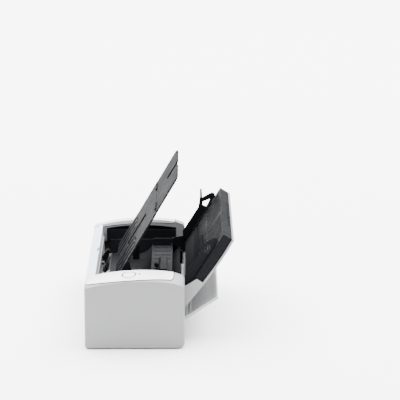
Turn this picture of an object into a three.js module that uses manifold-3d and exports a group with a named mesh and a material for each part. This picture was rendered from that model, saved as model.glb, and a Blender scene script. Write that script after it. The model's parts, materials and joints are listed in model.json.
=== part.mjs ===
// Desktop sheet fed document scanner with a turned paper path, standing open.
// Millimetres. X runs along the width, Y from front (-) to rear (+), Z up from the table.
import * as THREE from "three";
import { mergeVertices } from "three/addons/utils/BufferGeometryUtils.js";
import Module from "manifold-3d";

const wasm = await Module();
wasm.setup();

// Driving dimensions.
const HALF_WIDTH = 148;
const HALF_DEPTH = 57;
const UNDERSIDE = 0.8;
const CAP_INNER = 117;
const COVER_HALF = 115.2;
const GAP = 0.3;
const SEAM = 1.0;
const WALL = 2.6;

// The cover's own frame: origin on the feed tray, Y up the slope, Z out of the tray.
const COVER_ORIGIN = [64.8, 68.6];
const COVER_SLOPE = 57.7;
const COVER_HINGE = [-19.2, 11.4];
const COVER_LENGTH = 69.7;

// The output guide's frame: origin under the leaning sheets, Y up the slope, -Z behind them.
const GUIDE_ORIGIN = [-28.5, 60];
const GUIDE_SLOPE = 59.4;
const GUIDE_PIVOT = [16.43, -19.45];

// The rear flap's frame: origin at its lower end, Y along the flap.
const FLAP_ORIGIN = [57.1, 28.3];
const FLAP_SLOPE = 33.7;
const FLAP_LENGTH = 45;
const FLAP_AXIS = [54.1, 26.2];

// Paper path and its rollers, as (Y, Z) centres.
const PATH_Z = 13.5;
const REAR_BEND = [19.5, 33];
const FRONT_BEND = [-21.5, 33];
const BEND_RADIUS = 19.5;
const PATH_HALF = 1.5;
const PICK = [32.5, 35];
const FEED = [16, 20];
const EJECT = [-35, 34];
const MOTOR = [-8, 17];
const BRAKE = [44.75, 35.5];
const FEED_PINCH = [16, 9.7];
const EJECT_PINCH = [-44.9, 34];
const TYRE_RADIUS = 6;
const PULLEY_RADIUS = 6;
const SHAFT_RADIUS = 2.5;
const PINCH_RADIUS = 3.5;
const JOURNAL_RADIUS = 1.2;

// Scan button, on the right top panel.
const BUTTON_X = 131;
const BUTTON_Y = -6.3;
const BUTTON_RADIUS = 6.9;
const RING_RADIUS = 8.1;
const LAMP_Y = 5.8;

const ROUND = 40;

const white = paint(0xe4e5e7, 0.45);
const topWhite = paint(0xf2f3f4, 0.35);
const coolWhite = paint(0xcfd9e2, 0.4);
const dark = paint(0x35363b, 0.55);
const deckGrey = paint(0x3d3e44, 0.6);
const black = paint(0x141416, 0.7);
const flapGrey = paint(0xbfc1c4, 0.5);
const steel = paint(0xb4b7ba, 0.35, 0.9);
const rubber = paint(0x2b2b2d, 0.9);
const softGrey = paint(0x8f9396, 0.85);
const glass = paint(0x9fb4bd, 0.1);
const board = paint(0x1f6b46, 0.6);
const pulleyWhite = paint(0xe9e6da, 0.5);
const blue = paint(0x4aa3df, 0.3);

function paint(color, roughness, metalness = 0) {
  return new THREE.MeshStandardMaterial({ color, roughness, metalness });
}

// Turns a closed three.js geometry into a manifold solid.
function solid(geometry) {
  geometry.deleteAttribute("normal");
  geometry.deleteAttribute("uv");
  const merged = mergeVertices(geometry, 1e-4);
  return new wasm.Manifold(new wasm.Mesh({
    numProp: 3,
    vertProperties: new Float32Array(merged.attributes.position.array),
    triVerts: new Uint32Array(merged.index.array),
  }));
}

// Adds a solid to a group as a named mesh.
function add(group, name, shape, material) {
  const { vertProperties, triVerts } = shape.getMesh();
  const geometry = new THREE.BufferGeometry();
  geometry.setAttribute("position", new THREE.BufferAttribute(new Float32Array(vertProperties), 3));
  geometry.setIndex(new THREE.BufferAttribute(new Uint32Array(triVerts), 1));
  geometry.computeVertexNormals();
  const mesh = new THREE.Mesh(geometry, material);
  mesh.name = name;
  group.add(mesh);
}

// A (Y, Z) outline from corner points.
function polygon(points) {
  return new THREE.Shape(points.map(([y, z]) => new THREE.Vector2(y, z)));
}

const ACROSS = new THREE.Matrix4().makeBasis(
  new THREE.Vector3(0, 1, 0),
  new THREE.Vector3(0, 0, 1),
  new THREE.Vector3(1, 0, 0),
);

// Extrudes a (Y, Z) outline along X, from x0 to x1.
function across(outline, x0, x1, curveSegments = 12) {
  const shape = Array.isArray(outline) ? polygon(outline) : outline;
  const options = { depth: x1 - x0, bevelEnabled: false, curveSegments };
  const geometry = new THREE.ExtrudeGeometry(shape, options);
  geometry.applyMatrix4(ACROSS);
  geometry.translate(x0, 0, 0);
  return solid(geometry);
}

function box(x0, x1, y0, y1, z0, z1) {
  const geometry = new THREE.BoxGeometry(x1 - x0, y1 - y0, z1 - z0);
  geometry.translate((x0 + x1) / 2, (y0 + y1) / 2, (z0 + z1) / 2);
  return solid(geometry);
}

// A round bar along X.
function rod(x0, x1, [y, z], radius, segments = ROUND) {
  const geometry = new THREE.CylinderGeometry(radius, radius, x1 - x0, segments);
  geometry.rotateZ(Math.PI / 2);
  geometry.translate((x0 + x1) / 2, y, z);
  return solid(geometry);
}

// A round bar along Z.
function post(x, y, z0, z1, radius, segments = ROUND) {
  const geometry = new THREE.CylinderGeometry(radius, radius, z1 - z0, segments);
  geometry.rotateX(Math.PI / 2);
  geometry.translate(x, y, (z0 + z1) / 2);
  return solid(geometry);
}

function union(...shapes) {
  return shapes.reduce((whole, shape) => whole.add(shape));
}

function cut(shape, ...tools) {
  return tools.reduce((whole, tool) => whole.subtract(tool), shape);
}

// The same range on the right (+1) or the left (-1), low end first.
function range(side, inner, outer) {
  return side > 0 ? [inner, outer] : [-outer, -inner];
}

// A group turned about X, for pieces drawn in a sloping frame.
function slopingGroup([y, z], degrees) {
  const group = new THREE.Group();
  group.position.set(0, y, z);
  group.rotation.x = THREE.MathUtils.degToRad(degrees);
  return group;
}

// ---- Housing ----

const CROWN_REAR = [45.6, 82.9];
const CROWN_FRONT = [-53.5, 77.9];
const SIDE_DROP = 4.3;
const EDGE_RADIUS = 2.8;

// Side view of the housing, with the crowned top.
function housingOutline() {
  const shape = new THREE.Shape();
  shape.moveTo(-HALF_DEPTH + 4, UNDERSIDE);
  shape.lineTo(49.5, UNDERSIDE);
  shape.lineTo(HALF_DEPTH, 4.8);
  shape.lineTo(HALF_DEPTH, 77.4);
  shape.lineTo(55, 79.6);
  shape.lineTo(...CROWN_REAR);
  shape.bezierCurveTo(20, 87.5, -20, 86.9, ...CROWN_FRONT);
  shape.quadraticCurveTo(-HALF_DEPTH, 76.8, -HALF_DEPTH, 74);
  shape.lineTo(-HALF_DEPTH, UNDERSIDE + 4);
  shape.quadraticCurveTo(-HALF_DEPTH, UNDERSIDE, -HALF_DEPTH + 4, UNDERSIDE);
  return shape;
}

// The top falls away towards the outer end: none at the inner edge, most at the outer one.
function dropTowardsEnd(geometry) {
  const place = geometry.attributes.position;
  const span = HALF_WIDTH - EDGE_RADIUS - CAP_INNER;
  for (let i = 0; i < place.count; i++) {
    const outward = Math.max(0, Math.abs(place.getX(i)) - CAP_INNER) / span;
    const height = THREE.MathUtils.smoothstep(place.getZ(i), 62, 76);
    place.setZ(i, place.getZ(i) - SIDE_DROP * Math.min(1, outward) ** 2.4 * height);
  }
}

// The full outer shape of one end of the housing, rounded at its outer end.
function capBlock(side) {
  const inner = CAP_INNER - 8;
  const options = {
    depth: HALF_WIDTH - inner - 2 * EDGE_RADIUS,
    steps: 8,
    curveSegments: 16,
    bevelThickness: EDGE_RADIUS,
    bevelSize: EDGE_RADIUS,
    bevelOffset: -EDGE_RADIUS,
    bevelSegments: 4,
  };
  const geometry = new THREE.ExtrudeGeometry(housingOutline(), options);
  geometry.applyMatrix4(ACROSS);
  const start = side > 0 ? inner + EDGE_RADIUS : -HALF_WIDTH + EDGE_RADIUS;
  geometry.translate(start, 0, 0);
  dropTowardsEnd(geometry);
  const inside = range(side, 100, CAP_INNER);
  return solid(geometry).subtract(box(...inside, -60, 60, -1, 99));
}

// Everything above the seam of a top panel; a gap moves it up and forward.
function aboveSeam(side, gap) {
  const shape = new THREE.Shape();
  shape.moveTo(-HALF_DEPTH - 3, 72.9 + gap);
  shape.lineTo(-HALF_DEPTH, 73.5 + gap);
  shape.bezierCurveTo(-30, 79.4 + gap, 15, 82.7 + gap, 41 - gap, 79.9 + gap);
  shape.quadraticCurveTo(45.7 - gap, 79.4 + gap, 45.7 - gap, 83.8);
  shape.lineTo(45.7 - gap, 95);
  shape.lineTo(-HALF_DEPTH - 3, 95);
  return across(shape, ...range(side, CAP_INNER - 1, HALF_WIDTH + 1), 20);
}

// The space under a cap's roof, between two X planes, lowered by a gap.
function underRoof(side, inner, outer, gap = 0) {
  const shape = new THREE.Shape();
  shape.moveTo(-HALF_DEPTH + WALL + gap, -1);
  shape.lineTo(HALF_DEPTH - WALL - gap, -1);
  shape.lineTo(HALF_DEPTH - WALL - gap, 69);
  shape.lineTo(50 - gap, 75.6 - gap);
  shape.bezierCurveTo(15, 81.6 - gap, -30, 77.9 - gap, -HALF_DEPTH + WALL + gap, 71.4 - gap);
  return across(shape, ...range(side, inner, outer), 12);
}

// The long recess in a cap's inner wall.
function recessOutline() {
  const shape = new THREE.Shape();
  shape.moveTo(-41, 71);
  shape.lineTo(46.5, 71);
  shape.lineTo(46.5, 75.2);
  shape.bezierCurveTo(15, 80.4, -20, 79.2, -41, 74.4);
  return shape;
}

function endCap(side) {
  const shell = cut(
    capBlock(side),
    aboveSeam(side, 0),
    underRoof(side, CAP_INNER + WALL, HALF_WIDTH - WALL),
    box(...range(side, CAP_INNER - 1, CAP_INNER + WALL + 1), -54.4, 54.4, -1, 58),
    across(recessOutline(), ...range(side, CAP_INNER - 1, CAP_INNER + WALL + 1)),
  );
  return side > 0 ? cut(shell, buttonWell()) : cut(shell, rearSockets());
}

// Room for the button, its ring and the lamp in the right cap's roof.
function buttonWell() {
  return union(
    post(BUTTON_X, BUTTON_Y, 70, 90, RING_RADIUS + GAP),
    post(BUTTON_X, LAMP_Y, 70, 90, 1.8, 16),
  );
}

// Openings for the two sockets in the left cap's rear wall.
function rearSockets() {
  return union(box(-138.3, -125.7, 50, 60, 14.2, 26.8), box(-138.3, -125.7, 50, 60, 32.2, 44.8));
}

function topPanel(side) {
  const panel = capBlock(side).intersect(aboveSeam(side, SEAM));
  return side > 0 ? cut(panel, buttonWell()) : panel;
}

// Ring, button and lamp share the panel's own crowned top.
function scanButton() {
  const crown = capBlock(1).intersect(post(BUTTON_X, BUTTON_Y, 79.6, 90, BUTTON_RADIUS));
  return crown.add(post(BUTTON_X, BUTTON_Y, 76.2, 79.8, 2.4, 20));
}

function ringLight() {
  const ring = capBlock(1).intersect(post(BUTTON_X, BUTTON_Y, 79, 90, RING_RADIUS));
  return cut(ring, post(BUTTON_X, BUTTON_Y, 70, 95, BUTTON_RADIUS + GAP));
}

function lampLens() {
  return capBlock(1).intersect(post(BUTTON_X, LAMP_Y, 78, 90, 1.5, 16));
}

// Dark liner beside the deck: a band below the recess and a backing behind it.
function sideLiner(side) {
  const back = underRoof(side, CAP_INNER + WALL + GAP, CAP_INNER + WALL + 1.8, GAP);
  return union(
    back.intersect(box(...range(side, 110, 130), -42.5, 48, 71.3, 90)),
    box(...range(side, CAP_INNER - 1.4, CAP_INNER + WALL + 1.8), -40.7, 46.2, 71.3, 72.6),
    box(...range(side, CAP_INNER - 1.4, CAP_INNER - GAP), -40.7, 46.2, 58.5, 72.6),
  );
}

const FOOT_X = 130;
const FOOT_Y = 42;
const FOOT_RADIUS = 7;

function baseTray() {
  const middle = across(housingOutline(), -CAP_INNER + GAP, CAP_INNER - GAP);
  const body = union(
    box(-145, 145, -54, 54, UNDERSIDE, 8),
    cut(middle, box(-150, 150, -60, 60, 8, 99)),
  );
  const inside = box(-143.2, 143.2, -52, 52, 3.2, 12);
  const rearClear = box(-145.5, 145.5, 49.2, 58, -1, 5);
  const ends = cut(rearClear, box(-CAP_INNER, CAP_INNER, 40, 60, -2, 9));
  const tray = cut(body, inside, ends, ...footPlaces().map(([x, y]) => post(x, y, 0, 2.4, FOOT_RADIUS + GAP)));
  return union(tray, ...[1, -1].map(rollerStands));
}

// Stands that carry the journals of the brake roller and the feed pinch roller.
function rollerStands(side) {
  const brakeStand = box(...range(side, 20.6, 22.6), 42.6, 48, 2.6, 38.5);
  const pinchStand = box(...range(side, 44.6, 46.4), 13, 19, 2.6, 12);
  return cut(
    union(brakeStand, pinchStand),
    rod(-50, 50, BRAKE, JOURNAL_RADIUS + GAP, 20),
    rod(-50, 50, FEED_PINCH, JOURNAL_RADIUS + GAP, 20),
  );
}

function footPlaces() {
  return [[FOOT_X, -FOOT_Y], [-FOOT_X, -FOOT_Y], [FOOT_X, FOOT_Y], [-FOOT_X, FOOT_Y]];
}

// The front cover: a bluish top strip, a lip behind it and two stiles beside the feed guide.
function frontCover() {
  const strip = polygon([
    [-57, 44.6], [-57, 73.2], [-56.2, 74.8], [-47.4, 78.9], [-45.8, 78.4],
    [-45.8, 66.5], [-47.4, 66.5], [-47.4, 76.2], [-54.6, 72.8], [-54.6, 44.6],
  ]);
  const stile = [[-57, 8.4], [-57, 50], [-54.6, 50], [-54.6, 8.4]];
  const bracket = [
    [-55, 44.9], [-55, 50], [-52.4, 50], [-52.4, 37], [-42.5, 37], [-42.5, 31.4], [-54, 31.4], [-54, 44.9],
  ];
  const brackets = [1, -1].map((side) => cut(
    across(bracket, ...range(side, 44.6, 46.4)),
    rod(-50, 50, EJECT_PINCH, JOURNAL_RADIUS + GAP, 20),
  ));
  return cut(
    union(
      across(strip, -CAP_INNER + GAP, CAP_INNER - GAP),
      across(stile, 111, CAP_INNER - GAP),
      across(stile, -CAP_INNER + GAP, -111),
      ...brackets,
    ),
    box(-8.5, 8.5, -48, -45, 75.4, 82),
  );
}

// The fold-down guide for sheets fed by hand at the front.
function frontFeedGuide() {
  const plate = [[-57, 11], [-57, 44.3], [-55.2, 44.3], [-55.2, 11]];
  const rib = [[-55.3, 14], [-55.3, 43], [-54.2, 42], [-54.2, 15]];
  const ribs = [-90, -54, -18, 18, 54, 90].map((x) => across(rib, x - 0.8, x + 0.8));
  return union(
    across(plate, -110.6, 110.6),
    rod(-110.6, 110.6, [-55.7, 10.4], 1.3, 20),
    ...ribs,
  );
}

function rearPanel() {
  const wall = [[57, 8.4], [57, 23], [54.6, 23], [54.6, 8.4]];
  return across(wall, -CAP_INNER + GAP, CAP_INNER - GAP);
}

// ---- Deck, exit and paper path ----

const TROUGH_CENTRE = [-3.4, 64.25];
const TROUGH_RADIUS = 22;
const DECK_Z = 55;
const DECK_HALF = 115;
const SHEET = 2.2;

function degrees(value) {
  return THREE.MathUtils.degToRad(value);
}

// Side view of the deck: exit lip, trough round the guide's pivot, flat and rear lip.
function deckOutline() {
  const [y, z] = TROUGH_CENTRE;
  const shape = new THREE.Shape();
  shape.moveTo(-35.5, 45.3);
  shape.absarc(y, z, TROUGH_RADIUS, degrees(239.5), degrees(335.1), false);
  shape.lineTo(42, DECK_Z);
  shape.lineTo(42, 53.4);
  shape.lineTo(38.8, 44);
  shape.lineTo(36.6, 44);
  shape.lineTo(39.4, DECK_Z - SHEET);
  shape.absarc(y, z, TROUGH_RADIUS + SHEET, degrees(331.8), degrees(241), true);
  shape.lineTo(-34.6, 45.3 - SHEET);
  return shape;
}

function deck() {
  const [py, pz] = TROUGH_CENTRE;
  const side = (s) => {
    const wall = [
      [-35.5, 43.4], [-15.3, 43.4], [-10.5, 41.5], [4, 41.5], [10.5, 44.7], [16.5, 50.8], [22, 54],
      [22, 61], [-35.5, 61],
    ];
    const rib = [[17.6, DECK_Z - 1.2], [41, DECK_Z - 1.2], [41, 62.6], [39.6, 64], [19, 64], [17.6, 62.6]];
    const foot = pz - TROUGH_RADIUS - 1;
    const post = [[py - 4.2, foot], [py - 4.2, pz + 2.6], [py + 4.2, pz + 2.6], [py + 4.2, foot]];
    return union(
      across(wall, ...range(s, 112.4, DECK_HALF)),
      across(post, ...range(s, 86.3, 89.6)),
      across(rib, ...range(s, 105.4, 108.4)),
    );
  };
  const stubs = [1, -1].map((s) => union(
    rod(...range(s, 86, 90), TROUGH_CENTRE, 2.2, 24),
    box(...range(s, 86, 90), py - 1.7, py + 1.7, pz, pz + 4),
  ));
  return cut(
    union(across(deckOutline(), -DECK_HALF, DECK_HALF, 24), side(1), side(-1), rollerBlock()),
    box(-CAP_INNER, -111.6, 22.5, 60, 43, 60),
    box(111.6, CAP_INNER, 22.5, 60, 43, 60),
    ...stubs,
    box(-23.5, 23.5, 35, 43, 42, 53.2),
  );
}

// The raised housing over the pick roller, with its round boss.
function rollerBlock() {
  const hood = [[25.5, DECK_Z - 1], [36.5, DECK_Z - 1], [36.5, 60.6], [35, 61.8], [28, 61.8], [25.5, 59.4]];
  return union(
    across(hood, -28, 28),
    rod(-30.5, -27.5, [30, 58], 2.6, 24),
    rod(-4, 1.5, [23.2, 59], 2.7, 24),
    box(-3.2, 0.7, 22.4, 26, 57.4, 60.6),
  );
}

// Slotted front wall of the exit throat, with two lugs for the exit finger.
function exitGuide() {
  const wall = [[-45.4, 39], [-45.4, 66.2], [-43.9, 66.2], [-43.9, 39]];
  const lug = [[-44, 57.6], [-44, 65], [-39.4, 65], [-38.6, 60.6], [-40, 57.6]];
  const lugs = union(across(lug, 3.8, 5.8), across(lug, -5.8, -3.8));
  const slots = [];
  for (let x = 15; x < 108; x += 13) {
    slots.push(box(x, x + 3.4, -46, -43, 48, 62), box(-x - 3.4, -x, -46, -43, 48, 62));
  }
  return cut(
    union(across(wall, -111.8, 111.8), lugs),
    rod(-6.2, 6.2, FINGER_AXIS, 1.6, 20),
    box(-47, 47, -46, -43, 30, 39.6),
    ...slots,
  );
}

const FINGER_AXIS = [-41, 62];
const FINGER_TIP = [-33, 79];

function exitFinger() {
  const [y, z] = FINGER_AXIS;
  const [ty, tz] = FINGER_TIP;
  const arm = [
    [y - 2.2, z + 0.6], [y - 1.4, z + 8], [ty - 4.2, tz - 1.6], [ty - 1.6, tz + 0.4],
    [ty + 0.6, tz - 1.8], [ty - 1, tz - 7.5], [y + 2.4, z - 0.6],
  ];
  return union(
    across(arm, -3.2, 3.2),
    rod(-3.2, 3.2, FINGER_AXIS, 2.6, 24),
    rod(-5.6, 5.6, FINGER_AXIS, 1.25, 20),
  );
}

// A plate that follows the turned path, between two offsets from its centre line.
function pathPlate(near, far, reach) {
  const [ry, rz] = REAR_BEND;
  const [fy, fz] = FRONT_BEND;
  const shape = new THREE.Shape();
  const rear = degrees(-reach);
  const front = degrees(reach - 180);
  const down = degrees(-90);
  shape.absarc(ry, rz, BEND_RADIUS + near, rear, down, true);
  shape.absarc(fy, fz, BEND_RADIUS + near, down, front, true);
  shape.absarc(fy, fz, BEND_RADIUS + far, front, down, false);
  shape.absarc(ry, rz, BEND_RADIUS + far, down, rear, false);
  return across(shape, -109.8, 109.8, 14);
}

function outerPathGuide() {
  return cut(
    pathPlate(PATH_HALF, PATH_HALF + 1.6, 14),
    box(-102, 102, -8.6, 6.6, 8, 14),
    box(-47, 47, 11.4, 20.6, 6, 16),
  );
}

function innerPathGuide() {
  return cut(
    pathPlate(-PATH_HALF - 1.6, -PATH_HALF, 8),
    box(-102, 102, -8.6, 6.6, 12, 18),
    box(-47, 47, 8.6, 30, 12, 28),
    box(-47, 47, -46, -27.5, 24, 44),
    box(-24, 24, 24, 42, 24, 44),
  );
}

// The curved wall behind the feed mouth, with a window for the brake roller.
function rearGuide() {
  const plate = [[50.2, 52.2], [44, 46.4], [40.5, 43], [41, 41], [45.2, 44.4], [51.6, 50.8]];
  return cut(across(plate, -109.8, 109.8), box(-24, 24, 38, 53, 30, 44.4));
}

function sideFrame(side) {
  const plate = [
    [-48, 4], [48, 4], [48, 28], [41, 42.4], [27, 42.4], [22, 30.5], [-22, 30.5], [-28, 41], [-41, 41], [-48, 30],
  ];
  const holes = [PICK, FEED, EJECT].map((centre) => rod(-114, 114, centre, SHAFT_RADIUS + GAP, 24));
  return cut(across(plate, ...range(side, 110.4, 111.7)), ...holes);
}

// ---- Scanning units and electronics ----

function lowerSensor() {
  return cut(box(-101, 101, -8, 6, 4, 11.6), box(-99.2, 99.2, -6.4, 4.4, 10, 12));
}

function upperSensor() {
  return cut(box(-101, 101, -8, 6, 15.4, 25), box(-99.2, 99.2, -6.4, 4.4, 15, 17));
}

function sensorGlass(z0) {
  return box(-98.9, 98.9, -6.1, 4.1, z0, z0 + 1.3);
}

function mainBoard() {
  return union(
    box(-60, 60, -28, 8.5, 26.6, 28.2),
    box(-20, 2, -24, -8, 28, 29.8),
    box(20, 40, -22, -10, 28, 29.6),
    box(-52, -44, -20, 2, 28, 30.4),
  );
}

function buttonBoard() {
  return union(box(121.5, 141, -18, 14, 71.2, 72.6), box(128, 134, -9.3, -3.3, 72.4, 75));
}

// A type B data socket and a round power inlet, both opening to the rear.
function dataSocket() {
  return cut(box(-138, -126, 42, 56.4, 14.5, 26.5), box(-136.2, -127.8, 47, 57, 16.3, 24.7));
}

function powerInlet() {
  const bore = new THREE.CylinderGeometry(4.2, 4.2, 12, 24);
  bore.translate(-132, 51, 38.5);
  const pin = new THREE.CylinderGeometry(1, 1, 9.5, 12);
  pin.translate(-132, 49.4, 38.5);
  return box(-138, -126, 42, 56.4, 32.5, 44.5).subtract(solid(bore)).add(solid(pin));
}

// ---- Rollers and drive ----

function tyre(centre, half, radius) {
  return cut(rod(-half, half, centre, radius), rod(-half - 1, half + 1, centre, SHAFT_RADIUS + 0.3, 24));
}

function shaft(centre) {
  return rod(-124.4, 112.6, centre, SHAFT_RADIUS, 24);
}

// A roller with a thin journal at each end.
function journalled(centre, half, radius, reach) {
  return union(rod(-half, half, centre, radius, 32), rod(-reach, reach, centre, JOURNAL_RADIUS, 16));
}

function pulley(centre, bore = SHAFT_RADIUS) {
  const body = union(rod(-124.6, -119.4, centre, PULLEY_RADIUS, 32), rod(-119.4, -118.4, centre, 7.6, 32));
  return cut(body, rod(-126, -117, centre, bore + GAP, 24));
}

function motorPulley() {
  const wheel = rod(-124.6, -119.4, MOTOR, PULLEY_RADIUS, 32);
  return union(wheel, rod(-119.6, -118.4, MOTOR, 7.6, 32), rod(-127.6, -124, MOTOR, 1.5, 16));
}

function motor() {
  const can = rod(-142.8, -126, MOTOR, 12.2);
  return cut(can, rod(-128.2, -125, MOTOR, 2, 16));
}

// A belt round pulleys of one size, listed anticlockwise.
function beltOutline(centres, radius) {
  const shape = new THREE.Shape();
  centres.forEach(([y, z], i) => {
    const [py, pz] = centres[(i + centres.length - 1) % centres.length];
    const [ny, nz] = centres[(i + 1) % centres.length];
    const arrive = Math.atan2(z - pz, y - py) - Math.PI / 2;
    let leave = Math.atan2(nz - z, ny - y) - Math.PI / 2;
    if (leave < arrive) leave += 2 * Math.PI;
    shape.absarc(y, z, radius, arrive, leave, false);
  });
  return shape;
}

function driveBelt() {
  const centres = [EJECT, MOTOR, FEED, PICK];
  const outer = across(beltOutline(centres, PULLEY_RADIUS + 1.4), -124.2, -120.2, 10);
  return outer.subtract(across(beltOutline(centres, PULLEY_RADIUS + GAP), -125, -119.5, 10));
}

// ---- Cover: drawn in its sloping frame ----

// The outer curve of the cover's skin, from its hinge end to its tip.
function skinCurve(shape, inward) {
  const n = inward;
  shape.moveTo(-27.7, -8.9 + n);
  shape.bezierCurveTo(5, -13.3 + n, 40, -16.2 + n, COVER_LENGTH, -14.1 + n);
}

const SKIN = 2.5;

function coverShell() {
  const skin = new THREE.Shape();
  skinCurve(skin, 0);
  skin.lineTo(COVER_LENGTH, -14.1 + SKIN);
  skin.bezierCurveTo(40, -16.2 + SKIN, 5, -13.3 + SKIN, -27.2, -8.9 + SKIN);
  const arm = new THREE.Shape();
  arm.moveTo(-27, -7.4);
  arm.bezierCurveTo(-10, -9.6, 0, -10.8, 8.2, -11.6);
  arm.lineTo(8.3, -2.4);
  arm.lineTo(-4.1, 3.2);
  arm.lineTo(-6.4, 5.2);
  arm.lineTo(-14.8, 13.6);
  arm.absarc(...COVER_HINGE, 4.6, degrees(45), degrees(180), false);
  const arms = [1, -1].map((s) => union(
    across(arm, ...range(s, 113.9, COVER_HALF)),
    rod(...range(s, COVER_HALF - 1, CAP_INNER + 1.6), COVER_HINGE, 2.4, 24),
  ));
  return union(across(skin, -COVER_HALF, COVER_HALF, 16), ...arms);
}

// Holes for the cover's two hinge studs in the side liners, caps and deck walls.
function hingeBores() {
  const [s, n] = COVER_HINGE;
  const turn = degrees(COVER_SLOPE);
  const y = COVER_ORIGIN[0] + s * Math.cos(turn) - n * Math.sin(turn);
  const z = COVER_ORIGIN[1] + s * Math.sin(turn) + n * Math.cos(turn);
  return rod(-CAP_INNER - 2.2, CAP_INNER + 2.2, [y, z], 2.4 + GAP, 24);
}

const RACK_PITCH = 6;
const GEAR_S = 24;

// Dark cheek that lines the inside of a hinge arm.
function armCheek(side) {
  const cheek = new THREE.Shape();
  cheek.moveTo(-24.6, -5.2);
  cheek.lineTo(-10, -7.9);
  cheek.lineTo(0, -9);
  cheek.lineTo(9.2, -9.6);
  cheek.lineTo(9.2, -2);
  cheek.lineTo(-4.1, 3.5);
  cheek.lineTo(-6.4, 5.5);
  cheek.lineTo(-14.6, 13.9);
  cheek.absarc(...COVER_HINGE, 4.8, degrees(45), degrees(180), false);
  return across(cheek, ...range(side, 111.9, 113.6));
}

function feedTray() {
  const outline = new THREE.Shape();
  outline.moveTo(8.7, 0);
  outline.lineTo(COVER_LENGTH - 0.4, 0);
  outline.lineTo(COVER_LENGTH - 0.4, -11.2);
  outline.quadraticCurveTo(37, -12.3, 8.7, -9.9);
  const ramp = across([[-13, 0], [10, 0], [10, -2], [-12, -2]], -112.1, 112.1);
  const body = cut(across(outline, -COVER_HALF, COVER_HALF), box(-112.9, 112.9, 5, 67.3, -15, -2));
  const slots = union(
    box(24, 112.6, 31.4, 34, -3, 1),
    box(-112.6, -24, 14, 16.6, -3, 1),
    box(-56, 56, 66, 71, -10.5, -8.1),
  );
  const pin = post(0, GEAR_S, -8, -1.5, 1.6, 20);
  return union(ramp, body, armCheek(1), armCheek(-1)).subtract(slots).add(pin);
}

function chuteExtension() {
  return union(
    box(-55, 55, 12, 69.6, -10.1, -8.5),
    box(-20, 20, 68.6, 70.2, -10.1, -8.1),
  );
}

// The upright plate of a side guide, with an open fin at its top end.
function guidePlate(side) {
  const outline = [
    [-9, 0.5], [-9, 2.6], [-6, 8], [-2, 10.6], [34.5, 10.6], [47, 16], [54.6, 21.1], [55.6, 20.9],
    [56.4, 19.4], [47.4, 12.9], [55.8, 8.6], [59.8, 6], [60, 2.4], [57.6, 0.5],
  ];
  const window = [[43.6, 9.8], [51.4, 4.4], [46.5, 2.9], [40.3, 2.8], [39.6, 7.6]];
  return cut(
    across(outline, ...range(side, GUIDE_INNER, GUIDE_OUTER)),
    across(window, ...range(side, GUIDE_INNER - 1, GUIDE_OUTER + 1)),
  );
}

const GUIDE_INNER = 109;
const GUIDE_OUTER = 111.4;

// A toothed bar whose teeth face the pinion: outward is +1 for the upper rack.
function rack(x0, x1, outward) {
  const points = [];
  const root = GEAR_S + outward * (RACK_PITCH + 1.2);
  const tip = GEAR_S + outward * (RACK_PITCH - 0.7);
  const back = GEAR_S + outward * 11.2;
  const pitch = Math.PI;
  const first = Math.ceil((x0 + 1.6) / pitch);
  const last = Math.floor((x1 - 1.6) / pitch);
  points.push([x0, back], [x0, root]);
  for (let k = first; k <= last; k++) {
    const x = k * pitch;
    points.push([x - 1.02, root], [x - 0.36, tip], [x + 0.36, tip], [x + 1.02, root]);
  }
  points.push([x1, root], [x1, back]);
  const shape = new THREE.Shape(points.map(([x, y]) => new THREE.Vector2(x, y)));
  const geometry = new THREE.ExtrudeGeometry(shape, { depth: 2.8, bevelEnabled: false });
  geometry.translate(0, 0, -6.3);
  return solid(geometry);
}

// A side guide with its foot, its stem through the tray and its rack.
function sideGuide(side) {
  const s0 = side > 0 ? 31.7 : 14.3;
  const s1 = side > 0 ? 33.7 : 16.3;
  const bar = side > 0 ? rack(-14, 111.6, 1) : rack(-111.6, 14, -1);
  return union(
    guidePlate(side),
    box(...range(side, 104, GUIDE_OUTER), 6, 50, 0.4, 1.5),
    box(...range(side, 104, GUIDE_OUTER), s0, s1, -3.8, 1),
    bar,
  );
}

// The pinion between the racks: twelve teeth with curved flanks.
function guidePinion() {
  const teeth = 12;
  const flank = [[4.9, 0.235], [5.4, 0.185], [6, 0.115], [6.75, 0.05]];
  const points = [];
  for (let k = 0; k < teeth; k++) {
    const middle = (k + 0.5) * (2 * Math.PI / teeth) + Math.PI / 2;
    flank.forEach(([r, a]) => points.push([r * Math.cos(middle - a), r * Math.sin(middle - a)]));
    [...flank].reverse().forEach(([r, a]) => points.push([r * Math.cos(middle + a), r * Math.sin(middle + a)]));
  }
  const shape = new THREE.Shape(points.map(([x, y]) => new THREE.Vector2(x, y)));
  const geometry = new THREE.ExtrudeGeometry(shape, { depth: 2.8, bevelEnabled: false });
  geometry.translate(0, GEAR_S, -6.3);
  return cut(solid(geometry), post(0, GEAR_S, -9, 0, 1.95, 20));
}

// ---- Rear flap and output guide ----

function rearFlap() {
  const turn = degrees(-FLAP_SLOPE);
  const dy = FLAP_AXIS[0] - FLAP_ORIGIN[0];
  const dz = FLAP_AXIS[1] - FLAP_ORIGIN[1];
  const axis = [dy * Math.cos(turn) - dz * Math.sin(turn), dy * Math.sin(turn) + dz * Math.cos(turn)];
  const plate = [[0, 0], [FLAP_LENGTH, 0], [FLAP_LENGTH, -3], [0, -3], [axis[0], axis[1] - 1.9], [axis[0], axis[1] + 1.9]];
  const well = union(
    box(-111.4, 111.4, 3.6, 41, -0.7, 1),
    box(-108, 108, 8, 37.4, -1.3, 1),
  );
  const barrel = rod(-COVER_HALF, COVER_HALF, axis, 1.9, 20);
  return union(cut(across(plate, -COVER_HALF, COVER_HALF), well), barrel);
}

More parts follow.
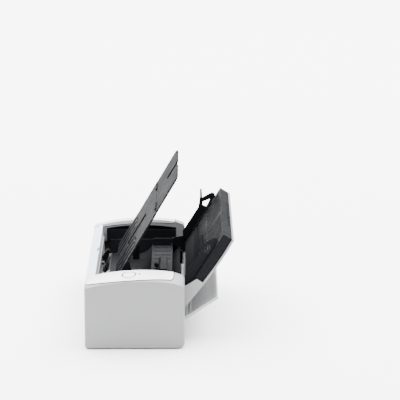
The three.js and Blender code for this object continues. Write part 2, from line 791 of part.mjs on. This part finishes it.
const PANEL_BACK = -4;
const PANEL_FRONT = -2;
const LOWER_FOLD = [51.4, PANEL_BACK - GAP / 2];
const UPPER_FOLD = [98.9, PANEL_FRONT + GAP / 2];
const GUIDE_LOW = 4;
const GUIDE_HIGH = 147;
const KNUCKLE = 1.6;

const LOWER_TABS = [[44, 54]];
const UPPER_TABS = [[33.7, 43.7], [54.3, 64.3]];

// Clears a panel's edge where the next panel's knuckles turn.
function knuckleRoom(tabs, fold) {
  return union(...[1, -1].flatMap((side) => tabs.map(([inner, outer]) => {
    const [x0, x1] = range(side, inner - 0.15, outer + 0.15);
    return box(x0, x1, fold[0] - 2, fold[0] + 2, PANEL_BACK - 1, PANEL_FRONT + 1);
  })));
}

// Knuckles that wrap the fold's axis, each with a neck to its panel on one side.
function knuckles(tabs, fold, reach) {
  const [u] = fold;
  return union(...[1, -1].flatMap((side) => tabs.map(([inner, outer]) => {
    const [x0, x1] = range(side, inner, outer);
    const neck = box(x0, x1, Math.min(u, u + reach), Math.max(u, u + reach), PANEL_BACK, PANEL_FRONT);
    return neck.add(rod(x0, x1, fold, KNUCKLE, 20));
  })));
}

// A panel's upper edge: bored knuckles, and room for those of the panel above.
function withUpperEdge(panel, fold) {
  const edge = cut(panel, knuckleRoom(UPPER_TABS, fold)).add(knuckles(LOWER_TABS, fold, -2.3));
  return cut(edge, rod(-60, -38, fold, 1.1, 16), rod(38, 60, fold, 1.1, 16));
}

// A panel's lower edge: knuckles and the pins that turn in the panel below.
function withLowerEdge(panel, fold) {
  const pins = [1, -1].map((side) => rod(...range(side, 34, 64), fold, 0.8, 16));
  const edge = cut(panel, knuckleRoom(LOWER_TABS, fold)).add(knuckles(UPPER_TABS, fold, 2.3));
  return union(edge, ...pins);
}

// A slot on the centre line, for the exit finger when the guide is folded away.
function fingerSlot(low, high) {
  return box(-7.2, 7.2, low, high, -9, 4);
}

function guideBase() {
  const [u, w] = GUIDE_PIVOT;
  const panel = box(-82, 82, GUIDE_LOW, LOWER_FOLD[0] - GAP, PANEL_BACK, PANEL_FRONT);
  const arm = [
    [5, -2], [34, -2], [34, -4.6], [u + 2.7, w + 0.6], [u - 2.7, w + 0.6], [5, -4.6],
  ];
  const arms = [1, -1].map((side) => union(
    across(arm, ...range(side, 81.7, 85.6)),
    rod(...range(side, 81.7, 85.6), GUIDE_PIVOT, 2.8, 24),
    rod(...range(side, 85, 89.4), GUIDE_PIVOT, 1.6, 20),
  ));
  const ribs = [-66, -44, -22, 22, 44, 66].map((x) => box(x - 0.7, x + 0.7, 6, 48, -2.2, -1.3));
  return cut(union(withUpperEdge(panel, LOWER_FOLD), ...arms, ...ribs), fingerSlot(30, 60));
}

function guideMiddle() {
  const [low, high] = [LOWER_FOLD[0] + GAP, UPPER_FOLD[0] - GAP];
  const panel = box(-79.8, 79.8, low, high, PANEL_BACK, PANEL_FRONT);
  return cut(withUpperEdge(withLowerEdge(panel, LOWER_FOLD), UPPER_FOLD), fingerSlot(50, 74));
}

function guideTip() {
  const outline = new THREE.Shape();
  const high = GUIDE_HIGH;
  outline.moveTo(-77.5, UPPER_FOLD[0] + GAP);
  outline.lineTo(77.5, UPPER_FOLD[0] + GAP);
  outline.lineTo(77.5, high - 8);
  outline.quadraticCurveTo(77.5, high, 68, high);
  outline.lineTo(-68, high);
  outline.quadraticCurveTo(-77.5, high, -77.5, high - 8);
  const options = { depth: PANEL_FRONT - PANEL_BACK, bevelEnabled: false, curveSegments: 6 };
  const geometry = new THREE.ExtrudeGeometry(outline, options);
  geometry.translate(0, 0, PANEL_BACK);
  return cut(withLowerEdge(solid(geometry), UPPER_FOLD), fingerSlot(124, 150));
}

// ---- Assembly ----

const scanner = new THREE.Group();

for (const [side, name] of [[1, "right"], [-1, "left"]]) {
  add(scanner, `end_cap_${name}`, endCap(side).subtract(hingeBores()), white);
  add(scanner, `top_panel_${name}`, topPanel(side), topWhite);
  add(scanner, `side_liner_${name}`, sideLiner(side).subtract(hingeBores()), dark);
  add(scanner, `side_frame_${name}`, sideFrame(side), steel);
}
add(scanner, "base_tray", baseTray(), white);
for (const [x, y] of footPlaces()) {
  const name = `foot_${y < 0 ? "front" : "rear"}_${x > 0 ? "right" : "left"}`;
  add(scanner, name, post(x, y, 0, 2.1, FOOT_RADIUS), rubber);
}
add(scanner, "front_cover", frontCover(), coolWhite);
add(scanner, "rear_panel", rearPanel(), white);
add(scanner, "deck", deck(), deckGrey);
add(scanner, "exit_guide", exitGuide(), white);
add(scanner, "rear_guide", rearGuide(), dark);
add(scanner, "outer_path_guide", outerPathGuide(), dark);
add(scanner, "inner_path_guide", innerPathGuide(), dark);

add(scanner, "scan_button", scanButton(), topWhite);
add(scanner, "ring_light", ringLight(), blue);
add(scanner, "lamp_lens", lampLens(), black);
add(scanner, "button_board", buttonBoard(), board);
add(scanner, "main_board", mainBoard(), board);
add(scanner, "data_socket", dataSocket(), steel);
add(scanner, "power_inlet", powerInlet(), black);
add(scanner, "lower_image_sensor", lowerSensor(), black);
add(scanner, "lower_sensor_glass", sensorGlass(10.4), glass);
add(scanner, "upper_image_sensor", upperSensor(), black);
add(scanner, "upper_sensor_glass", sensorGlass(15.3), glass);

add(scanner, "pick_shaft", shaft(PICK), steel);
add(scanner, "feed_shaft", shaft(FEED), steel);
add(scanner, "eject_shaft", shaft(EJECT), steel);
add(scanner, "pick_tyre", tyre(PICK, 20, TYRE_RADIUS), softGrey);
add(scanner, "feed_tyre", tyre(FEED, 44, TYRE_RADIUS), softGrey);
add(scanner, "eject_tyre", tyre(EJECT, 44, TYRE_RADIUS), softGrey);
add(scanner, "pick_pulley", pulley(PICK), pulleyWhite);
add(scanner, "feed_pulley", pulley(FEED), pulleyWhite);
add(scanner, "eject_pulley", pulley(EJECT), pulleyWhite);
add(scanner, "motor_pulley", motorPulley(), pulleyWhite);
add(scanner, "drive_motor", motor(), steel);
add(scanner, "drive_belt", driveBelt(), rubber);
add(scanner, "brake_roller", journalled(BRAKE, 20, TYRE_RADIUS - 0.1, 22.5), softGrey);
add(scanner, "feed_pinch_roller", journalled(FEED_PINCH, 44, PINCH_RADIUS, 46.3), softGrey);
add(scanner, "eject_pinch_roller", journalled(EJECT_PINCH, 44, PINCH_RADIUS, 46.3), softGrey);
add(scanner, "exit_finger", exitFinger(), black);
add(scanner, "front_feed_guide", frontFeedGuide(), white);

const cover = slopingGroup(COVER_ORIGIN, COVER_SLOPE);
add(cover, "cover_shell", coverShell(), white);
add(cover, "feed_tray", feedTray(), dark);
add(cover, "chute_extension", chuteExtension(), dark);
add(cover, "side_guide_right", sideGuide(1), dark);
add(cover, "side_guide_left", sideGuide(-1), dark);
add(cover, "guide_pinion", guidePinion(), pulleyWhite);
scanner.add(cover);

const flap = slopingGroup(FLAP_ORIGIN, FLAP_SLOPE);
add(flap, "rear_flap", rearFlap(), flapGrey);
scanner.add(flap);

const outputGuide = slopingGroup(GUIDE_ORIGIN, GUIDE_SLOPE);
add(outputGuide, "output_guide_base", guideBase(), dark);
add(outputGuide, "output_guide_middle", guideMiddle(), dark);
add(outputGuide, "output_guide_tip", guideTip(), dark);
scanner.add(outputGuide);

// Put the origin under the middle of the whole machine's bounding box.
const extent = new THREE.Box3().setFromObject(scanner, true);
scanner.position.y = -(extent.min.y + extent.max.y) / 2;

export default scanner;
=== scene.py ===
"""Looks for the document scanner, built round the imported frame. Metres, Z up."""

import json
import math

import bmesh
import bpy
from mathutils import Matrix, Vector


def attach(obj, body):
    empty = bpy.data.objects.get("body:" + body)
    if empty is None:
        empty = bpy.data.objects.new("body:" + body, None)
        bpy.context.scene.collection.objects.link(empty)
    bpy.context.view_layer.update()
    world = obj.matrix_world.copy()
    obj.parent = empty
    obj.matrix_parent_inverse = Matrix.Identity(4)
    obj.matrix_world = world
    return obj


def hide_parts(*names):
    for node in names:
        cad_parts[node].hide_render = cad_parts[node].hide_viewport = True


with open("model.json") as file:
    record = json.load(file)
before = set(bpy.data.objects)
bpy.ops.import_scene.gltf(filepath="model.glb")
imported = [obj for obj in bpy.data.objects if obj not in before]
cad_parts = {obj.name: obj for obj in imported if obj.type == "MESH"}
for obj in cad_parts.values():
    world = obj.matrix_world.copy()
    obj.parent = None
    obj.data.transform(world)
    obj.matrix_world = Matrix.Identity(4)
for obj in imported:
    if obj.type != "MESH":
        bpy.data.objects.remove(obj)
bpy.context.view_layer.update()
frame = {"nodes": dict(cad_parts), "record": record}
RECORD = frame["record"]
MM = 0.001

# Edges and welding.
EDGE_ROUND = 0.35 * MM
THIN_EDGE = 0.12 * MM
SHARP_ANGLE = math.radians(28)
FLAT_ANGLE = math.radians(0.6)
WELD_DISTANCE = 2e-6

# Camera.
LENS_MM = 184.41
CAMERA_PLACE = (2.38099, 0.030887, 0.723785)
CAMERA_TILT = math.radians(76.21306)
CAMERA_HEADING = math.radians(89.60865)


# ---- Material building ----

class Shader:
    """A material's node tree with short ways to add and join nodes."""

    def __init__(self, name):
        self.material = bpy.data.materials.new(name)
        self.material.use_nodes = True
        self.tree = self.material.node_tree
        self.surface = self.tree.nodes["Principled BSDF"]

    def node(self, kind, **values):
        made = self.tree.nodes.new(kind)
        for key, value in values.items():
            if key in made.inputs:
                made.inputs[key].default_value = value
            else:
                setattr(made, key, value)
        return made

    def join(self, source, target):
        self.tree.links.new(source, target)

    def place(self, scale=(1, 1, 1)):
        where = self.node("ShaderNodeTexCoord")
        mapping = self.node("ShaderNodeMapping")
        mapping.inputs["Scale"].default_value = scale
        self.join(where.outputs["Object"], mapping.inputs["Vector"])
        return mapping.outputs["Vector"]

    def noise(self, scale, detail=3, stretch=(1, 1, 1)):
        made = self.node("ShaderNodeTexNoise", Scale=scale, Detail=detail)
        self.join(self.place(stretch), made.inputs["Vector"])
        return made.outputs["Fac"]

    def spread(self, source, low, high):
        made = self.node("ShaderNodeMapRange")
        made.inputs["From Min"].default_value = 0.3
        made.inputs["From Max"].default_value = 0.7
        made.inputs["To Min"].default_value = low
        made.inputs["To Max"].default_value = high
        self.join(source, made.inputs["Value"])
        return made.outputs["Result"]

    def blend(self, factor, dark, light):
        made = self.node("ShaderNodeMix", data_type="RGBA")
        made.inputs["A"].default_value = (*dark, 1)
        made.inputs["B"].default_value = (*light, 1)
        self.join(factor, made.inputs["Factor"])
        return made.outputs["Result"]

    def bump(self, heights, strength, distance):
        made = self.node("ShaderNodeBump", Strength=strength, Distance=distance)
        self.join(heights, made.inputs["Height"])
        self.join(made.outputs["Normal"], self.surface.inputs["Normal"])


def shade(colour, factor):
    return tuple(min(1.0, channel * factor) for channel in colour)


def moulded_plastic(name, colour, roughness, grain, depth, variation=0.04, coat=0.0, gloss=0.5):
    """Spark-textured plastic: fine grain in the bump, faint colour drift and uneven gloss."""
    look = Shader(name)
    drift = look.noise(14, detail=5)
    mixed = look.blend(drift, shade(colour, 1 - variation), shade(colour, 1 + variation))
    look.join(mixed, look.surface.inputs["Base Color"])
    look.join(look.spread(look.noise(60, 4), roughness - 0.05, roughness + 0.06),
              look.surface.inputs["Roughness"])
    look.bump(look.noise(grain, detail=2), depth, 0.0002)
    look.surface.inputs["Specular IOR Level"].default_value = gloss
    look.surface.inputs["Coat Weight"].default_value = coat
    look.surface.inputs["Coat Roughness"].default_value = 0.2
    return look.material


def brushed_metal(name, colour, roughness, stretch):
    look = Shader(name)
    lines = look.noise(900, detail=3, stretch=stretch)
    mixed = look.blend(lines, shade(colour, 0.85), shade(colour, 1.1))
    look.join(mixed, look.surface.inputs["Base Color"])
    look.join(look.spread(lines, roughness - 0.08, roughness + 0.1), look.surface.inputs["Roughness"])
    look.surface.inputs["Metallic"].default_value = 1.0
    look.bump(lines, 0.08, 0.0001)
    return look.material


def rubber(name, colour, roughness):
    look = Shader(name)
    mixed = look.blend(look.noise(240, 5), shade(colour, 0.8), shade(colour, 1.25))
    look.join(mixed, look.surface.inputs["Base Color"])
    look.join(look.spread(look.noise(500), roughness - 0.08, roughness + 0.05),
              look.surface.inputs["Roughness"])
    look.bump(look.noise(1600, detail=3), 0.25, 0.0002)
    return look.material


def circuit_board(name):
    look = Shader(name)
    traces = look.node("ShaderNodeTexBrick", Scale=180.0)
    traces.inputs["Color1"].default_value = (0.012, 0.13, 0.06, 1)
    traces.inputs["Color2"].default_value = (0.02, 0.19, 0.09, 1)
    traces.inputs["Mortar"].default_value = (0.10, 0.33, 0.16, 1)
    traces.inputs["Mortar Size"].default_value = 0.03
    look.join(look.place(), traces.inputs["Vector"])
    look.join(traces.outputs["Color"], look.surface.inputs["Base Color"])
    look.join(look.spread(look.noise(300), 0.25, 0.4), look.surface.inputs["Roughness"])
    look.bump(traces.outputs["Fac"], 0.2, 0.0001)
    return look.material


def clear_glass(name):
    look = Shader(name)
    tint = look.blend(look.noise(30), (0.55, 0.68, 0.72), (0.66, 0.78, 0.8))
    look.join(tint, look.surface.inputs["Base Color"])
    look.join(look.spread(look.noise(80), 0.02, 0.06), look.surface.inputs["Roughness"])
    look.surface.inputs["Transmission Weight"].default_value = 0.8
    look.surface.inputs["IOR"].default_value = 1.45
    return look.material


def lit_plastic(name, colour, strength):
    """Translucent plastic lit from behind, a little uneven."""
    look = Shader(name)
    glow = look.blend(look.noise(260, 2), shade(colour, 0.8), colour)
    look.join(glow, look.surface.inputs["Base Color"])
    look.join(glow, look.surface.inputs["Emission Color"])
    look.surface.inputs["Emission Strength"].default_value = strength
    look.surface.inputs["Specular IOR Level"].default_value = 0.05
    look.join(look.spread(look.noise(90), 0.2, 0.3), look.surface.inputs["Roughness"])
    return look.material


# The housing colour below is the same white plastic as the top panels, painted about three times darker
# as painted shade for its side faces.
HOUSING_WHITE_PAINTED_SHADE = (0.20, 0.202, 0.207)
TOP_WHITE = (0.68, 0.684, 0.69)
COOL_WHITE = (0.62, 0.70, 0.77)
DARK = (0.006, 0.0063, 0.0073)
DECK = (0.009, 0.0094, 0.0108)
BLACK = (0.003, 0.003, 0.0035)
FLAP = (0.34, 0.345, 0.355)
BLACK_RUBBER = (0.018, 0.018, 0.019)
GREY_RUBBER = (0.24, 0.26, 0.27)
IVORY = (0.78, 0.75, 0.64)
STEEL = (0.58, 0.59, 0.61)
RING_BLUE = (0.0, 0.022, 0.125)

LOOKS = {
    # The housing white carries painted shade: same white plastic as the top white, painted darker.
    "white_housing": moulded_plastic(
        "white_housing", HOUSING_WHITE_PAINTED_SHADE, roughness=0.46, grain=1500, depth=0.10, variation=0.02),
    "white_top": moulded_plastic(
        "white_top", TOP_WHITE, roughness=0.32, grain=900, depth=0.03, variation=0.015, coat=0.15),
    "cool_white_strip": moulded_plastic(
        "cool_white_strip", COOL_WHITE, roughness=0.38, grain=1300, depth=0.06, variation=0.02),
    "dark_plastic": moulded_plastic(
        "dark_plastic", DARK, roughness=0.62, grain=1100, depth=0.16, variation=0.10, gloss=0.04),
    "deck_grey": moulded_plastic(
        "deck_grey", DECK, roughness=0.60, grain=1000, depth=0.18, variation=0.08, gloss=0.05),
    "black_plastic": moulded_plastic(
        "black_plastic", BLACK, roughness=0.45, grain=1200, depth=0.12, variation=0.10, gloss=0.08),
    "flap_grey": moulded_plastic(
        "flap_grey", FLAP, roughness=0.50, grain=1400, depth=0.10, variation=0.03),
    "gear_plastic": moulded_plastic(
        "gear_plastic", IVORY, roughness=0.40, grain=1200, depth=0.06, variation=0.04),
    "steel": brushed_metal("steel", STEEL, roughness=0.34, stretch=(0.05, 1, 1)),
    "rubber_black": rubber("rubber_black", BLACK_RUBBER, roughness=0.85),
    "rubber_grey": rubber("rubber_grey", GREY_RUBBER, roughness=0.8),
    "sensor_glass": clear_glass("sensor_glass"),
    "circuit_board": circuit_board("circuit_board"),
    "blue_light": lit_plastic("blue_light", RING_BLUE, strength=0.9),
}

SLOT_OF = {part["node"]: part["material_slot"] for part in RECORD["subparts"]}
BODY_OF = {node: body for body, nodes in RECORD["behaviour"]["bodies"].items() for node in nodes}
THIN = {"outer_path_guide", "inner_path_guide", "rear_guide", "exit_guide", "drive_belt",
        "guide_pinion", "side_guide_right", "side_guide_left", "chute_extension",
        "output_guide_base", "output_guide_middle", "output_guide_tip", "ring_light",
        "scan_button", "lamp_lens", "side_liner_right", "side_liner_left", "data_socket",
        "power_inlet", "exit_finger", "lower_sensor_glass", "upper_sensor_glass",
        "side_frame_right", "side_frame_left", "front_feed_guide", "front_cover"}


# ---- Mesh helpers ----

def new_object(name, mesh, material, body):
    made = bpy.data.objects.new(name, mesh)
    bpy.context.scene.collection.objects.link(made)
    made.data.materials.clear()
    made.data.materials.append(material)
    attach(made, body)
    return made


def set_smooth(mesh_data):
    """Smooth faces, with edges sharper than SHARP_ANGLE kept crisp."""
    for edge in mesh_data.edges:
        if len(edge.link_faces) == 2:
            edge.smooth = edge.calc_face_angle(0) < SHARP_ANGLE
    for face in mesh_data.faces:
        face.smooth = True


def round_edges(made, width):
    bevel = made.modifiers.new("edge_round", "BEVEL")
    bevel.width = width
    bevel.segments = 2
    bevel.limit_method = "ANGLE"
    bevel.angle_limit = SHARP_ANGLE
    bevel.harden_normals = True
    bevel.use_clamp_overlap = True


def finish_node(node):
    """The CAD node's own shape, welded, smoothed and with its edges broken."""
    build = bmesh.new()
    build.from_mesh(frame["nodes"][node].data)
    bmesh.ops.remove_doubles(build, verts=build.verts, dist=WELD_DISTANCE)
    bmesh.ops.dissolve_limit(build, angle_limit=FLAT_ANGLE, verts=build.verts, edges=build.edges)
    set_smooth(build)
    mesh = bpy.data.meshes.new(node + "_shape")
    build.to_mesh(mesh)
    build.free()
    slot = SLOT_OF[node]
    made = new_object(node + "_finished", mesh, LOOKS[slot], BODY_OF[node])
    round_edges(made, THIN_EDGE if node in THIN else EDGE_ROUND)
    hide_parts(node)
    return made


for node_name in SLOT_OF:
    finish_node(node_name)


# ---- Detail pieces ----

REAR_SHIFT = 28.48127
COVER_ORIGIN = (64.8, 68.6)
COVER_SLOPE = math.radians(57.7)
FLAP_ORIGIN = (57.1, 28.3)
FLAP_SLOPE = math.radians(33.7)


def level(y, z):
    """A point of the body's own side view, in millimetres, as world metres."""
    return ((y - REAR_SHIFT) * MM, z * MM)


def on_slope(origin, slope):
    """Turns a point along and off a sloping panel into the body's side view."""
    def placed(s, n):
        y = origin[0] + s * math.cos(slope) - n * math.sin(slope)
        z = origin[1] + s * math.sin(slope) + n * math.cos(slope)
        return level(y, z)
    return placed


on_cover = on_slope(COVER_ORIGIN, COVER_SLOPE)
on_flap = on_slope(FLAP_ORIGIN, FLAP_SLOPE)


def add_prism(build, profile, x0, x1, placed=level):
    """A closed prism: a profile in the side view, swept from x0 to x1."""
    rings = []
    for x in (x0, x1):
        rings.append([build.verts.new((x * MM, *placed(y, z))) for y, z in profile])
    build.faces.new(rings[0])
    build.faces.new(list(reversed(rings[1])))
    for i in range(len(profile)):
        j = (i + 1) % len(profile)
        build.faces.new((rings[0][i], rings[1][i], rings[1][j], rings[0][j]))


def add_block(build, x0, x1, y0, y1, z0, z1, placed=level):
    add_prism(build, [(y0, z0), (y1, z0), (y1, z1), (y0, z1)], x0, x1, placed)


def add_disc(build, x, y, z0, z1, radius, sides=24):
    """A short upright cylinder."""
    rings = []
    for z in (z0, z1):
        ring = []
        for i in range(sides):
            angle = 2 * math.pi * i / sides
            side, depth = radius * math.cos(angle), radius * math.sin(angle)
            ring.append(build.verts.new(((x + side) * MM, *level(y + depth, z))))
        rings.append(ring)
    build.faces.new(list(reversed(rings[0])))
    build.faces.new(rings[1])
    for i in range(sides):
        j = (i + 1) % sides
        build.faces.new((rings[0][i], rings[0][j], rings[1][j], rings[1][i]))


def detail(name, fill, body, slot, width=THIN_EDGE):
    """A piece made by fill, riding on a body."""
    build = bmesh.new()
    fill(build)
    bmesh.ops.recalc_face_normals(build, faces=build.faces)
    set_smooth(build)
    mesh = bpy.data.meshes.new(name + "_shape")
    build.to_mesh(mesh)
    build.free()
    made = new_object(name, mesh, LOOKS[slot], body)
    if width:
        round_edges(made, width)
    return made


# The seam below a top panel: which of its faces line it, and how the painted-shade strip sits in it.
FACING_DOWN = -0.3
FACING_REAR = 0.6
LOWEST_SEAM = 60 * MM
PANEL_MIDDLE = 132.5 * MM
INSET_X = 0.996
INSET_Y = 0.999
SEAM_CLEAR = 0.09 * MM
SEAM_FILL = 0.82 * MM


def lines_the_seam(face):
    faces_it = face.normal.z < FACING_DOWN or face.normal.y > FACING_REAR
    return faces_it and face.calc_center_median().z >= LOWEST_SEAM


def seam_shade_strip(side):
    """Dark strip of painted shade in the seam below a top panel: the panel's underside, set in a little
    and thickened.
    """
    middle = PANEL_MIDDLE if side == "right" else -PANEL_MIDDLE

    def fill(build):
        build.from_mesh(frame["nodes"]["top_panel_" + side].data)
        bmesh.ops.remove_doubles(build, verts=build.verts, dist=WELD_DISTANCE)
        build.normal_update()
        others = [face for face in build.faces if not lines_the_seam(face)]
        bmesh.ops.delete(build, geom=others, context="FACES")
        for vert in build.verts:
            vert.co.x = middle + (vert.co.x - middle) * INSET_X
            vert.co.y *= INSET_Y
            vert.co.z -= SEAM_CLEAR
        grown = bmesh.ops.extrude_face_region(build, geom=build.faces[:], use_keep_orig=True)["geom"]
        for vert in grown:
            if isinstance(vert, bmesh.types.BMVert):
                vert.co.z -= SEAM_FILL
    return fill


# Ribs, marks, vents (black strips of painted shade) and screws, in millimetres of the body's side view
# or of their panel.
TRAY_RIBS = {"reach": 96, "step": 12, "half": 0.5, "span": (37, 66), "height": (-0.2, 0.35)}
PINION_HALF = 5
SHEET_HALVES = (37, 52.5, 74, 91, 105)
MARK = {"half": 0.3, "span": (35.2, 36.4), "height": (-0.1, 0.12)}
GRIP = {"half": 14, "first": 30, "step": 2, "rows": 3, "width": 1, "height": (-1.4, -0.8)}
DECK_RIBS = {"places": (42, 60, 78, 96), "half": 0.6, "span": (19, 40.5), "height": (54.9, 55.5)}
VENT_SHADE_STRIPS = {"reach": 60, "step": 6, "half": 1.1, "span": (56.8, 57.05), "height": (11, 20)}
SCREW_PLACES = ((-118, -30), (118, -30), (-118, 30), (118, 30))
SCREW_HEAD = {"z0": 0.45, "z1": 1.0, "radius": 3.2}
SCREW_SOCKET = {"z0": 0.3, "z1": 0.5, "radius": 1.6, "sides": 6}
TONGUE_CENTRE = -132


def add_strip(build, x, sizes, placed=level):
    """A block of one of the size tables above, centred on x."""
    half = sizes["half"]
    add_block(build, x - half, x + half, *sizes["span"], *sizes["height"], placed)


def tray_ribs(build):
    reach, step = TRAY_RIBS["reach"], TRAY_RIBS["step"]
    for x in range(-reach, reach + 1, step):
        if abs(x) > PINION_HALF:
            add_strip(build, x, TRAY_RIBS, on_cover)


def tray_width_marks(build):
    """Short ticks along the guides' slot, at common sheet widths."""
    for half in SHEET_HALVES:
        for x in (half, -half):
            add_strip(build, x, MARK, on_cover)


def flap_grip(build):
    for row in range(GRIP["rows"]):
        start = GRIP["first"] + GRIP["step"] * row
        end = start + GRIP["width"]
        add_block(build, -GRIP["half"], GRIP["half"], start, end, *GRIP["height"], on_flap)


def deck_ribs(build):
    places = DECK_RIBS["places"]
    for x in (*(-place for place in reversed(places)), *places):
        add_strip(build, x, DECK_RIBS)


# Thin black strips on the rear face stand in for vent slots: painted shade of the openings, not cut
# holes.
def vent_slot_shade(build):
    reach, step = VENT_SHADE_STRIPS["reach"], VENT_SHADE_STRIPS["step"]
    for x in range(-reach, reach + 1, step):
        add_strip(build, x, VENT_SHADE_STRIPS)


def base_screws(build):
    for x, y in SCREW_PLACES:
        add_disc(build, x, y, **SCREW_HEAD)
        add_disc(build, x, y, **SCREW_SOCKET)


def socket_tongue(build):
    """Tongue and its root in the data socket."""
    x0, x1 = TONGUE_CENTRE - 2.2, TONGUE_CENTRE + 2.2
    add_block(build, x0, x1, 48, 55, 20.0, 21.0)
    add_block(build, x0, x1, 46.9, 48.2, 19.2, 21.8)


BODY = BODY_OF["base_tray"]
COVER = BODY_OF["feed_tray"]
detail("tray_ribs", tray_ribs, COVER, "dark_plastic")
detail("tray_width_marks", tray_width_marks, COVER, "rubber_grey", 0)
detail("flap_grip", flap_grip, BODY_OF["rear_flap"], "flap_grey")
detail("deck_ribs", deck_ribs, BODY_OF["deck"], "deck_grey")
# Vent strips: black plastic as painted shade for the slot openings.
detail("vent_slot_shade", vent_slot_shade, BODY, "black_plastic", 0)
detail("base_screws", base_screws, BODY, "steel")
# Black strips in the panel seams: painted shade of the groove between panel and cap.
for end in ("right", "left"):
    detail("panel_seam_shade_" + end, seam_shade_strip(end), BODY, "black_plastic", 0)
detail("socket_tongue", socket_tongue, BODY_OF["data_socket"], "black_plastic")


# ---- Studio ----

FLOOR_HALF = 9
HORIZON_GLOW = 0.1
ZENITH_GLOW = 3.2
GLOW_FROM = 0.05
GLOW_TO = 0.75
TOP_LIGHT_PLACE = (-1.9, 0.2, 3.0)
TOP_LIGHT_TARGET = (-1.9, 0.2, 0)
TOP_LIGHT_SIZE = (6.0, 6.0)
TOP_LIGHT_WATTS = 1250


def add_floor():
    build = bmesh.new()
    signs = ((-1, -1), (1, -1), (1, 1), (-1, 1))
    build.faces.new([build.verts.new((x * FLOOR_HALF, y * FLOOR_HALF, 0)) for x, y in signs])
    mesh = bpy.data.meshes.new("floor")
    build.to_mesh(mesh)
    build.free()
    floor = bpy.data.objects.new("floor", mesh)
    bpy.context.scene.collection.objects.link(floor)
    look = Shader("floor_paper")
    tone = look.blend(look.noise(3, 2), (0.93, 0.93, 0.93), (0.95, 0.95, 0.95))
    look.join(tone, look.surface.inputs["Base Color"])
    look.surface.inputs["Roughness"].default_value = 0.9
    mesh.materials.append(look.material)


def add_light(name, place, target, size, power):
    data = bpy.data.lights.new(name, "AREA")
    data.shape = "RECTANGLE"
    data.size, data.size_y = size
    data.energy = power
    lamp = bpy.data.objects.new(name, data)
    lamp.location = place
    direction = Vector(target) - Vector(place)
    lamp.rotation_euler = direction.to_track_quat("-Z", "Y").to_euler()
    bpy.context.scene.collection.objects.link(lamp)


def add_world(horizon, zenith):
    """A dome that is dim at the horizon and bright overhead."""
    world = bpy.data.worlds.new("studio")
    world.use_nodes = True
    tree = world.node_tree
    where = tree.nodes.new("ShaderNodeTexCoord")
    parts = tree.nodes.new("ShaderNodeSeparateXYZ")
    ramp = tree.nodes.new("ShaderNodeMapRange")
    ramp.interpolation_type = "SMOOTHSTEP"
    ramp.inputs["From Min"].default_value = GLOW_FROM
    ramp.inputs["From Max"].default_value = GLOW_TO
    ramp.inputs["To Min"].default_value = horizon
    ramp.inputs["To Max"].default_value = zenith
    tree.links.new(where.outputs["Generated"], parts.inputs["Vector"])
    tree.links.new(parts.outputs["Z"], ramp.inputs["Value"])
    background = tree.nodes["Background"]
    background.inputs["Color"].default_value = (1, 1, 1, 1)
    tree.links.new(ramp.outputs["Result"], background.inputs["Strength"])
    bpy.context.scene.world = world


def add_camera():
    data = bpy.data.cameras.new("camera")
    data.lens = LENS_MM
    data.sensor_width = 36
    camera = bpy.data.objects.new("camera", data)
    camera.location = CAMERA_PLACE
    camera.rotation_euler = (CAMERA_TILT, 0, CAMERA_HEADING)
    bpy.context.scene.collection.objects.link(camera)
    bpy.context.scene.camera = camera


add_floor()
add_world(HORIZON_GLOW, ZENITH_GLOW)
add_light("top_light", TOP_LIGHT_PLACE, TOP_LIGHT_TARGET, TOP_LIGHT_SIZE, TOP_LIGHT_WATTS)
add_camera()
